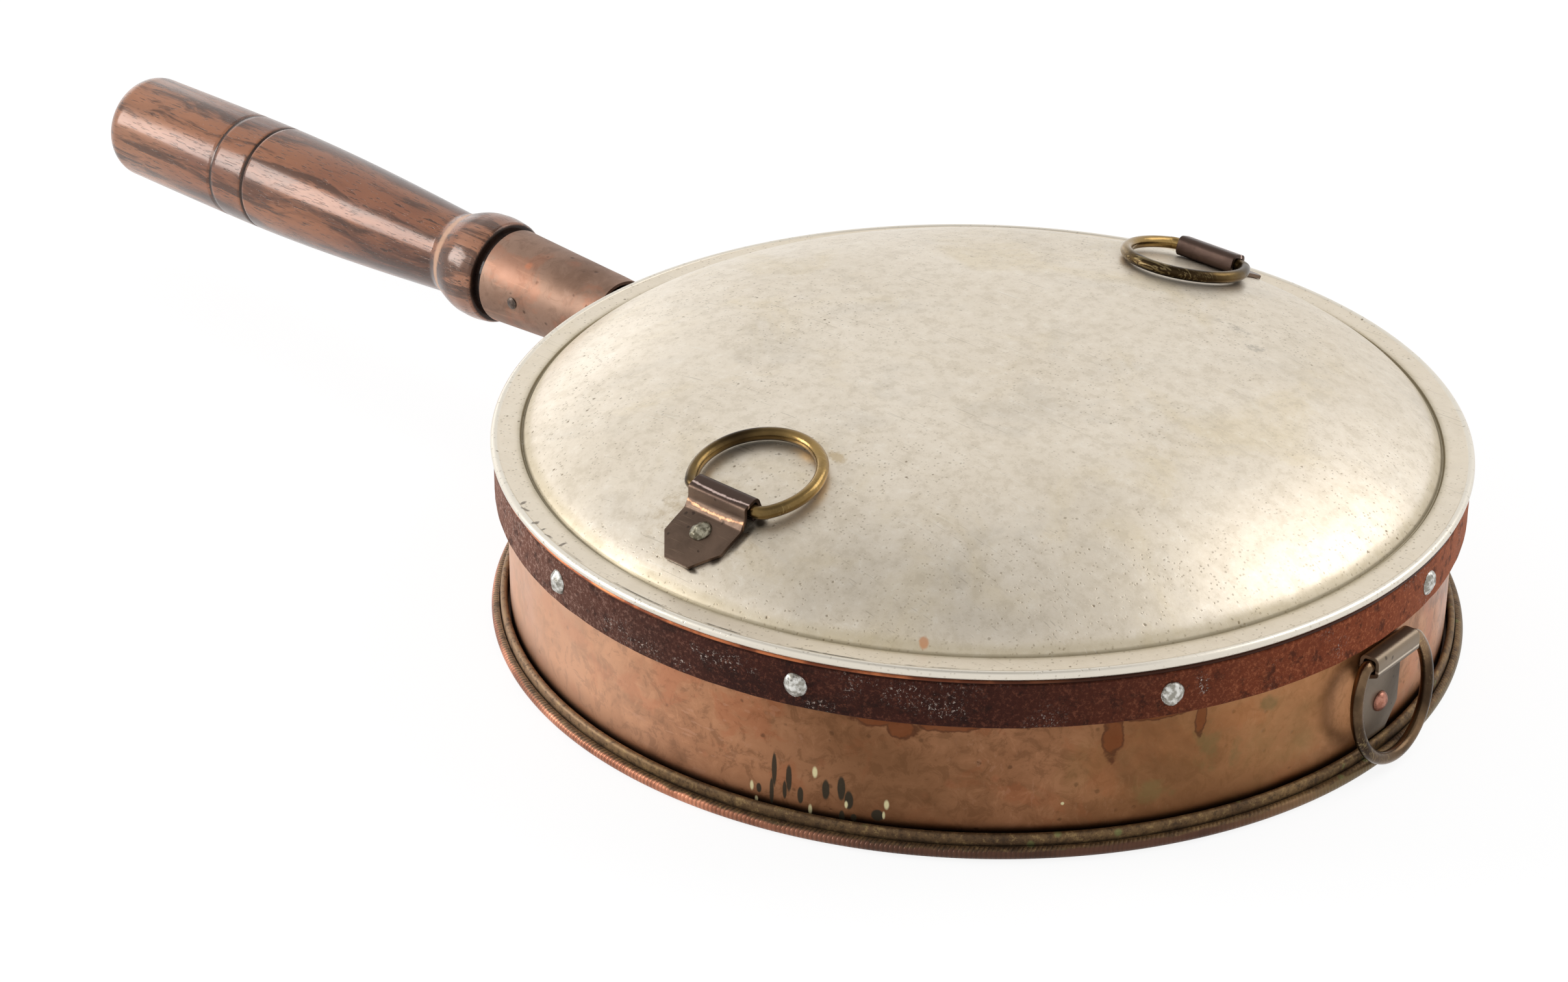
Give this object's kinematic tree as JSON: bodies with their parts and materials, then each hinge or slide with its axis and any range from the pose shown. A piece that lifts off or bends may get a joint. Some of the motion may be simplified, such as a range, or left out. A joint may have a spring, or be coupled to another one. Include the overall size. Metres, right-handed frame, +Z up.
{
  "type": "bed warming pan",
  "caption": "Shallow round copper warming pan with an iron hoop, a silvered domed lid lifted by two rings, a hanging ring and a turned wooden handle.",
  "frame": {"origin": "centre of the flat base plate's underside, on the floor", "axes": "+Z up through the lid; the handle points to -X; the lid's rings lie towards -Y and +Y; the hanging ring is near +X"},
  "size_m": [0.5222, 0.2824, 0.0823],
  "materials": {
    "copper": "aged satin copper",
    "iron": "rusted wrought iron",
    "silvered": "worn silvered copper",
    "ring_brass": "antique brass wire",
    "tab_bronze": "dark bronzed brass sheet",
    "rivet_white": "tinned, dull",
    "hidden_wire": "plain wire",
    "rosewood": "waxed, dark pores"
  },
  "bodies": {
    "drum": {"base_plate": "copper", "drum_wall": "copper", "foot_rim": "copper", "foot_wire": "hidden_wire", "iron_hoop": "iron", "hoop_rivets": "rivet_white", "tang": "iron", "tang_rivets": "copper", "ferrule": "copper", "ferrule_nails": "rivet_white", "handle_grip": "rosewood", "drum_tab": "tab_bronze", "drum_tab_rivet": "copper"},
    "hanging_ring": {"drum_ring": "ring_brass"},
    "lid": {"lid_dome": "silvered", "lid_wire": "hidden_wire", "lid_collar": "silvered", "lid_tab_front": "tab_bronze", "lid_tab_back": "tab_bronze", "lid_tab_rivets": "rivet_white"},
    "front_ring": {"lid_ring_front": "ring_brass"},
    "back_ring": {"lid_ring_back": "ring_brass"}
  },
  "joints": [
    {"name": "lid_lift", "type": "slide", "parent": "drum", "child": "lid", "axis": [0, 0, 1], "range_m": [0, 0.09]},
    {"name": "front_ring_turn", "type": "hinge", "parent": "lid", "child": "front_ring", "pos_m": [0, -0.1065, 0.07393], "axis": [1, 0, 0], "range_deg": [0, 180]},
    {"name": "back_ring_turn", "type": "hinge", "parent": "lid", "child": "back_ring", "pos_m": [0, 0.1065, 0.07393], "axis": [-1, 0, 0], "range_deg": [0, 180]},
    {"name": "hanging_ring_turn", "type": "hinge", "parent": "drum", "child": "hanging_ring", "pos_m": [0.13854, 0.00726, 0.03342], "axis": [0.0523, -0.9986, 0], "range_deg": [0, 150]}
  ]
}
